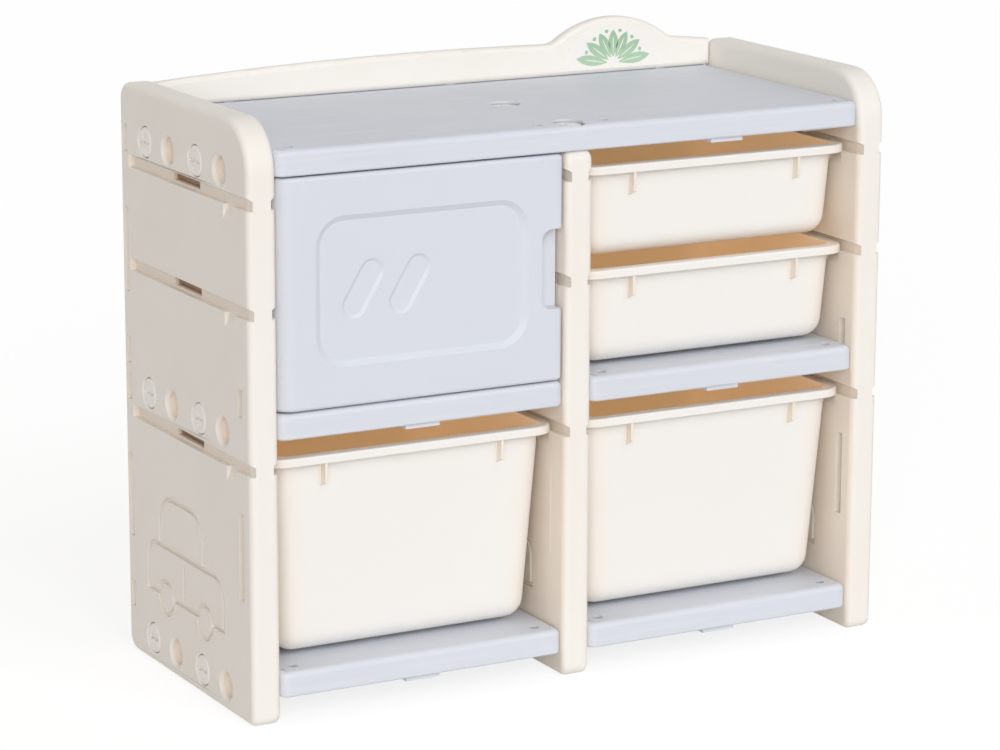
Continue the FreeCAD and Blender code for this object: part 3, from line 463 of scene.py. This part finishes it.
def rounded_ring(half_x, half_y, radius):
    """Points round a rectangle with round corners, with one on the straight beside each end of an arc."""
    ring = []
    for quarter, (x_side, y_side) in enumerate(((1, 1), (-1, 1), (-1, -1), (1, -1))):
        centre_x, centre_y = x_side * (half_x - radius), y_side * (half_y - radius)
        angles = [math.pi / 2 * (quarter + step / CORNER_STEPS) for step in range(CORNER_STEPS + 1)]
        arc = [(centre_x + radius * math.cos(angle), centre_y + radius * math.sin(angle))
               for angle in angles]
        (first_x, first_y), (last_x, last_y) = arc[0], arc[-1]
        before = (first_x + FLAT_ROW * math.sin(angles[0]), first_y - FLAT_ROW * math.cos(angles[0]))
        after = (last_x - FLAT_ROW * math.sin(angles[-1]), last_y + FLAT_ROW * math.cos(angles[-1]))
        ring += [before, *arc, after]
    return ring


def wall_inset(z, top):
    """How far the outside of a bin's wall stands in from its rim's outline at a height."""
    return RIM_OVERHANG + BIN_DRAFT * (top - RIM_HEIGHT - z)


def foot_rows(foot, top, radius, wall):
    """The rounded foot of a bin's wall, from the floor up, on the wall's outside or inside."""
    rows = []
    for step in range(ROUND_STEPS + 1):
        angle = math.pi / 2 * step / ROUND_STEPS
        drawn = radius * (1 - math.sin(angle))
        z = foot + radius * (1 - math.cos(angle))
        rows.append((wall_inset(z, top) + wall + drawn, TUB_CORNER - wall - drawn, z))
    return rows


def tub_profile(foot, top):
    """The section of a bin, from under its foot up the wall, round the rim and down the inside.

    Each row is how far in from the rim's outline, the corner radius, and the height."""
    skirt_foot = top - RIM_HEIGHT
    plate_foot = top - RIM_PLATE
    rows = foot_rows(foot, top, FOOT_ROUND, 0.0)
    for z in (foot + FOOT_ROUND + FLAT_ROW, plate_foot - 3 * NEAR_ROW, plate_foot):
        rows.append((wall_inset(z, top), TUB_CORNER, z))
    inner_corner = RIM_CORNER - BIN_WALL
    rows += [
        (BIN_WALL + NEAR_ROW, inner_corner, plate_foot),
        (BIN_WALL, inner_corner, plate_foot - NEAR_ROW),
        (BIN_WALL, inner_corner, skirt_foot),
        (SKIRT_EDGE, RIM_CORNER, skirt_foot),
        (0.0, RIM_CORNER, skirt_foot + SKIRT_EDGE),
        (0.0, RIM_CORNER, top - RIM_ROUND - NEAR_ROW),
    ]
    for degrees in (0, 30, 60, 90):
        drawn = RIM_ROUND * (1 - math.cos(math.radians(degrees)))
        rows.append((drawn, RIM_CORNER - drawn, top - RIM_ROUND * (1 - math.sin(math.radians(degrees)))))
    rows.append((RIM_ROUND + NEAR_ROW, RIM_CORNER - RIM_ROUND, top))
    lip = wall_inset(top, top) + BIN_WALL
    rows += [(lip - before, TUB_CORNER - tighter, top - down) for before, tighter, down in LIP_ROWS]
    inner_round = FOOT_ROUND - BIN_WALL
    floor = foot + BIN_WALL
    for z in (top - NEAR_ROW, top - 4 * NEAR_ROW, floor + inner_round + FLAT_ROW):
        rows.append((wall_inset(z, top) + BIN_WALL, TUB_CORNER - BIN_WALL, z))
    return rows + foot_rows(floor, top, inner_round, BIN_WALL)[::-1]


def rib_block(x, front, top):
    """The corners and faces of one rib, from the rim's skirt back to the front wall."""
    head = top - RIM_PLATE + RIB_BITE
    front_foot = top - RIM_HEIGHT - RIB_DROP
    wall_foot = front_foot - RIB_SLANT
    edge = front + BIN_WALL / 2
    side = [
        (edge, head),
        (edge + RIB_LEAN, front_foot),
        (edge + wall_inset(wall_foot, top), wall_foot),
        (edge + wall_inset(head, top), head),
    ]
    half = RIB_WIDTH / 2
    corners = [(x - half, y, z) for y, z in side] + [(x + half, y, z) for y, z in side]
    faces = [(3, 2, 1, 0), (4, 5, 6, 7)]
    faces += [(start, (start + 1) % 4, (start + 1) % 4 + 4, start + 4) for start in range(4)]
    return corners, faces


def make_bin(node_name, body):
    """A drafted tub with a turned-down rim and two ribs under the front of the rim."""
    low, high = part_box(node_name)
    middle = (low + high) / 2
    half_x, half_y = (high.x - low.x) / 2, (high.y - low.y) / 2
    points, faces = [], []
    for inset, corner, z in tub_profile(low.z, high.z):
        ring = rounded_ring(half_x - inset, half_y - inset, corner)
        points += [(middle.x + x, middle.y + y, z) for x, y in ring]
    count = len(ring)
    for start in range(0, len(points) - count, count):
        for step in range(count):
            here, after = start + step, start + (step + 1) % count
            faces.append((here, after, after + count, here + count))
    faces.append(tuple(reversed(range(count))))
    faces.append(tuple(range(len(points) - count, len(points))))
    for x in (middle.x - RIB_OFFSET, middle.x + RIB_OFFSET):
        corners, sides = rib_block(x, low.y, high.z)
        faces += [tuple(corner + len(points) for corner in side) for side in sides]
        points += corners
    mesh = bpy.data.meshes.new(node_name.replace("_bin", "_tub"))
    mesh.from_pydata(points, [], faces)
    mesh.shade_smooth()
    mesh.set_sharp_from_angle(angle=math.radians(SHARP_ANGLE))
    finish = bin_finish(node_name.replace("_", " ") + " cream", low, high)
    stand_in(mesh, finish, node_name, body)


def recast(node_name, move, finish):
    """A copy of a moulding of the carcass, merged and with some points moved, in that moulding's place."""
    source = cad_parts[node_name].data
    work = bmesh.new()
    work.from_mesh(source)
    twins = bmesh.ops.find_doubles(work, verts=work.verts[:], dist=MERGE_WITHIN)["targetmap"]
    kept = [twins.get(point, point).index for point in work.verts]
    work.free()
    faces, normals = [], []
    for face in source.polygons:
        corners = [kept[index] for index in face.vertices]
        if len(set(corners)) == len(corners):
            faces.append(corners)
            normals += [source.corner_normals[index].vector.copy() for index in face.loop_indices]
    used = sorted({index for face in faces for index in face})
    spot_of = {index: spot for spot, index in enumerate(used)}
    mesh = bpy.data.meshes.new(node_name + "_moulding")
    mesh.from_pydata([move(source.vertices[index].co.copy()) for index in used], [],
                     [[spot_of[index] for index in face] for face in faces])
    mesh.shade_smooth()
    mesh.normals_split_custom_set(normals)
    stand_in(mesh, finish, node_name, "carcass")


def bring_front_flush(point):
    """Moves the front of a board forward, nearly level with the panels' edges, and deepens its dimples."""
    if point.y < BOARD_FRONT_ZONE:
        point.y -= BOARD_FRONT_REACH
    elif any(abs(top - DIMPLE_DEPTH - point.z) < LEVEL_SLACK for top in BOARD_TOPS):
        point.z -= DIMPLE_DEEPER
    return point


def lower_rail_foot(point):
    """Closes most of the gap under the rail, and leaves its pegs."""
    if RAIL_FOOT - LEVEL_SLACK < point.z < RAIL_ROUND_TOP:
        point.z -= RAIL_DROP * (RAIL_ROUND_TOP - point.z) / (RAIL_ROUND_TOP - RAIL_FOOT)
    return point


def deepen(point, unused):
    """Deepens a panel's slots, car lines, floor pockets and unused recesses, found by their depth."""
    middle = round(point.x / PANEL_MIDDLE) * PANEL_MIDDLE
    side = 1 if point.x > middle else -1
    sunk = HALF_PANEL - abs(point.x - middle)
    level = round(sunk, 5)
    new_level = DEEPER.get(level)
    if level == SLOT and middle == 0 and side < 0:
        new_level = FILLED_SLOT
    if new_level and abs(point.y) < DEEPENED_HALF_DEPTH and point.z < DEEPENED_TOP:
        point.x = middle + side * (HALF_PANEL - new_level)
        return point
    if abs(sunk) < RECESS_DEPTH and side * middle > 0:
        for y, z in unused:
            away = math.hypot(point.y - y, point.z - z)
            if away < RECESS_REACH:
                radius, new_level = RECESS_RIMS.get(level, RECESS_FLOOR)
                return Vector((middle + side * (HALF_PANEL - new_level),
                               y + (point.y - y) * radius / away, z + (point.z - z) * radius / away))
    return point


def make_mouldings():
    """Gives each moulding its plastic, and recasts those whose shape the photograph corrects."""
    cream = plastic("blown cream", draw_blown_cream, 0.4)
    board_blue = plastic("board blue-grey", draw_board_blue, 0.45)
    dress((*PANELS, "back_rail"), cream)
    dress(BOARDS, board_blue)
    dress(("door",), plastic("door blue-grey", draw_door_blue, 0.45))
    dress(BOLTS_AND_PINS, plastic("bolt white", draw_bolt_white, 0.5))
    dress(("motif_plate",), plastic("plate white", draw_plate_white, 0.5))
    for node_name in BOARDS:
        recast(node_name, bring_front_flush, board_blue)
    recast("back_rail", lower_rail_foot, cream)
    for node_name in PANELS:
        unused = [(y, z) for y in UNUSED_RECESSES[node_name] for z in RECESS_ROWS]
        recast(node_name, lambda point, unused=unused: deepen(point, unused), cream)
    for size_name in BIN_SIZES:
        make_bin(size_name + "_bin", size_name + "_drawer")


def socket_of(tree, name, kind, value):
    """A named input of a geometry tree."""
    made = tree.interface.new_socket(name, in_out="INPUT", socket_type=kind)
    if value is not None:
        made.default_value = value
    return made.identifier


def fan_tree():
    """Flat lens-shaped leaves set round an arc: each point of the arc carries one leaf."""
    tree = bpy.data.node_groups.new("leaf fan", "GeometryNodeTree")
    tree.interface.new_socket("Geometry", in_out="OUTPUT", socket_type="NodeSocketGeometry")
    names = {
        "Leaves": ("NodeSocketInt", 7),
        "First Angle": ("NodeSocketFloat", 0.0),
        "Last Angle": ("NodeSocketFloat", math.pi),
        "Start": ("NodeSocketFloat", 0.01),
        "Leaf Length": ("NodeSocketFloat", 0.03),
        "Side Growth": ("NodeSocketFloat", 0.3),
        "Leaf Half Width": ("NodeSocketFloat", 0.006),
        "Thickness": ("NodeSocketFloat", 0.0003),
        "Finish": ("NodeSocketMaterial", None),
    }
    inputs = {name: socket_of(tree, name, kind, value) for name, (kind, value) in names.items()}
    bench = Bench(tree)
    given = bench.node("NodeGroupInput")
    count = given.other("Leaves")
    share = bench.node("GeometryNodeInputIndex") / (count - 1).at_least(1)
    angle = given.other("First Angle") + share * (given.other("Last Angle") - given.other("First Angle"))
    aside = abs(share * 2 - 1)
    start = given.other("Start")
    spot = bench.node("ShaderNodeCombineXYZ", {}, {
        "X": start * angle.math("COSINE", angle), "Y": start * angle.math("SINE", angle)})
    points = bench.node("GeometryNodePoints", {}, {"Count": count, "Position": spot})
    blank = bench.node("GeometryNodeMeshCylinder", {"fill_type": "NGON"}, {
        "Vertices": 40, "Radius": 1.0, "Depth": given.other("Thickness")})
    corner = bench.split(bench.node("GeometryNodeInputPosition"))
    swell = corner.other("Y") * abs(corner.other("Y")) * (1 + corner * 0.25)
    lens = bench.node("ShaderNodeCombineXYZ", {}, {
        "X": (corner + 1) * (given.other("Leaf Length") * 0.5),
        "Y": swell * given.other("Leaf Half Width"),
        "Z": corner.other("Z") + given.other("Thickness") * 0.5})
    leaf = bench.node("GeometryNodeSetPosition", {}, {"Geometry": blank, "Position": lens})
    turn = bench.node("ShaderNodeCombineXYZ", {}, {"Z": angle})
    growth = bench.node("ShaderNodeCombineXYZ", {}, {
        "X": 1 + given.other("Side Growth") * (aside * aside), "Y": 1.0, "Z": 1.0})
    fan = bench.node("GeometryNodeInstanceOnPoints", {}, {
        "Points": points, "Instance": leaf, "Rotation": turn, "Scale": growth})
    solid = bench.node("GeometryNodeRealizeInstances", {}, {0: fan})
    shown = bench.node("GeometryNodeSetMaterial", {}, {"Geometry": solid, "Material": given.other("Finish")})
    bench.node("NodeGroupOutput", {}, {0: shown})
    return tree, inputs


def grown(name, tree, inputs, values, place, body):
    """Runs a geometry tree with these values and keeps the result, put in its place, on a body."""
    seedling = bpy.data.objects.new(name + "_tree", bpy.data.meshes.new(name + "_seed"))
    bpy.context.collection.objects.link(seedling)
    modifier = seedling.modifiers.new("tree", "NODES")
    modifier.node_group = tree
    for key, value in values.items():
        modifier[inputs[key]] = value
    seen = seedling.evaluated_get(bpy.context.evaluated_depsgraph_get())
    mesh = bpy.data.meshes.new_from_object(seen)
    mesh.transform(place)
    bpy.data.objects.remove(seedling)
    piece = bpy.data.objects.new(name, mesh)
    bpy.context.collection.objects.link(piece)
    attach(piece, body)


def make_leaf_fan():
    """The printed leaves on the plate: green leaves, each with a pale vein, and dots between the tips."""
    tree, inputs = fan_tree()
    green = plastic("leaf green", draw_leaf_green, 0.4)
    pale = plastic("vein white", draw_plate_white, 0.4)
    upright = Euler((math.pi / 2, 0.0, 0.0)).to_quaternion()
    place = Matrix.LocRotScale(Vector((FAN_MIDDLE, PLATE_LOW.y + FAN_SINK, FAN_FOOT)), upright, None)
    shared = {
        "Leaves": 7,
        "First Angle": math.radians(9),
        "Last Angle": math.radians(171),
        "Side Growth": 0.34,
    }
    grown("leaf_fan", tree, inputs, {
        **shared, "Start": 0.008, "Leaf Length": 0.0345, "Leaf Half Width": 0.0066,
        "Thickness": 0.0004, "Finish": green}, place, "carcass")
    grown("leaf_veins", tree, inputs, {
        **shared, "Start": 0.011, "Leaf Length": 0.0240, "Leaf Half Width": 0.0006,
        "Thickness": 0.00055, "Finish": pale}, place, "carcass")
    grown("leaf_dots", tree, inputs, {
        **shared, "Leaves": 6, "First Angle": math.radians(22.5), "Last Angle": math.radians(157.5),
        "Start": 0.0395, "Side Growth": 0.0, "Leaf Length": 0.0050, "Leaf Half Width": 0.0027,
        "Thickness": 0.0004, "Finish": green}, place, "carcass")


def seen_by_eye(bench):
    """1 for what the camera sees, straight or in a reflection."""
    path = bench.node("ShaderNodeLightPath", output="Is Camera Ray")
    return path.at_least(path.other("Is Glossy Ray")).at_least(path.other("Is Transmission Ray"))


def direction(turn, rise):
    """The way to a point that is turned to the right of the front and raised, in radians."""
    return Vector((math.sin(turn) * math.cos(rise), -math.cos(turn) * math.cos(rise), math.sin(rise)))


def hang_lamp(name, side, rise, energy, breadth, colour):
    """A broad lamp, turned to the right of the front and raised by these degrees."""
    lamp = bpy.data.lights.new(name, "SUN")
    lamp.energy = energy
    lamp.angle = math.radians(breadth)
    lamp.color = colour
    stand = bpy.data.objects.new(name, lamp)
    bpy.context.collection.objects.link(stand)
    stand.rotation_mode = "QUATERNION"
    stand.rotation_quaternion = (-direction(math.radians(side), math.radians(rise))).to_track_quat("-Z", "Y")


def make_floor():
    """A wide pale floor that stays white to the camera and keeps the shelf's shadow."""
    mesh = bpy.data.meshes.new("studio_floor")
    corners = [(x * FLOOR_REACH, y * FLOOR_REACH, 0) for x, y in ((-1, -1), (1, -1), (1, 1), (-1, 1))]
    mesh.from_pydata(corners, [], [(0, 1, 2, 3)])
    floor = bpy.data.objects.new("studio_floor", mesh)
    bpy.context.collection.objects.link(floor)
    paper = bpy.data.materials.new("studio paper")
    paper.use_nodes = True
    paper.node_tree.nodes.clear()
    bench = Bench(paper.node_tree)
    matt = bench.node("ShaderNodeBsdfDiffuse", {}, {"Color": PAPER})
    faint = bench.node("ShaderNodeBsdfDiffuse", {}, {"Color": PAPER_SHADE})
    glow = bench.node("ShaderNodeEmission", {}, {"Strength": FLOOR_GLOW})
    shown = bench.node("ShaderNodeAddShader", {}, {0: faint, 1: glow})
    both = bench.node("ShaderNodeMixShader", {}, {0: seen_by_eye(bench), 1: matt, 2: shown})
    bench.node("ShaderNodeOutputMaterial", {}, {"Surface": both})
    mesh.materials.append(paper)


def make_light():
    """Even warm light from all round, a broad lamp high in front and one low at the front left."""
    world = bpy.data.worlds.new("studio")
    bpy.context.scene.world = world
    world.use_nodes = True
    world.node_tree.nodes.clear()
    bench = Bench(world.node_tree)
    room = bench.node("ShaderNodeBackground", {}, {"Color": ROOM_WARM, "Strength": ROOM_LIGHT})
    paper = bench.node("ShaderNodeBackground", {}, {"Color": WHITE, "Strength": 1.0})
    sky = bench.node("ShaderNodeMixShader", {}, {0: seen_by_eye(bench), 1: room, 2: paper})
    bench.node("ShaderNodeOutputWorld", {}, {"Surface": sky})
    hang_lamp("broad_lamp", 10, 35, 0.94, 40, (0.95, 1.005, 1.08))
    hang_lamp("fill_lamp", -30, 14, 1.04, 30, (1.0, 0.98, 0.96))


def make_camera():
    """The photograph's view: from the front left, a little above."""
    target = Vector((-0.105454, -0.18, 0.381294))
    turn, rise, tilt, away = -0.5013004, 0.2303921, 0.0035121, 4.24797
    back = direction(turn, rise)
    right = (-back).cross(Vector((0, 0, 1))).normalized()
    up = right.cross(-back)
    across = math.cos(tilt) * right + math.sin(tilt) * up
    upward = math.cos(tilt) * up - math.sin(tilt) * right
    lens = bpy.data.cameras.new("camera")
    lens.lens = 131.74
    lens.sensor_width = 36.0
    lens.clip_end = 200.0
    camera = bpy.data.objects.new("camera", lens)
    bpy.context.collection.objects.link(camera)
    stance = Matrix((across, upward, back)).transposed().to_4x4()
    stance.translation = target + back * away
    camera.matrix_world = stance
    bpy.context.scene.camera = camera


bpy.context.scene.view_settings.view_transform = "Standard"
make_camera()
make_light()
make_floor()
make_mouldings()
make_leaf_fan()
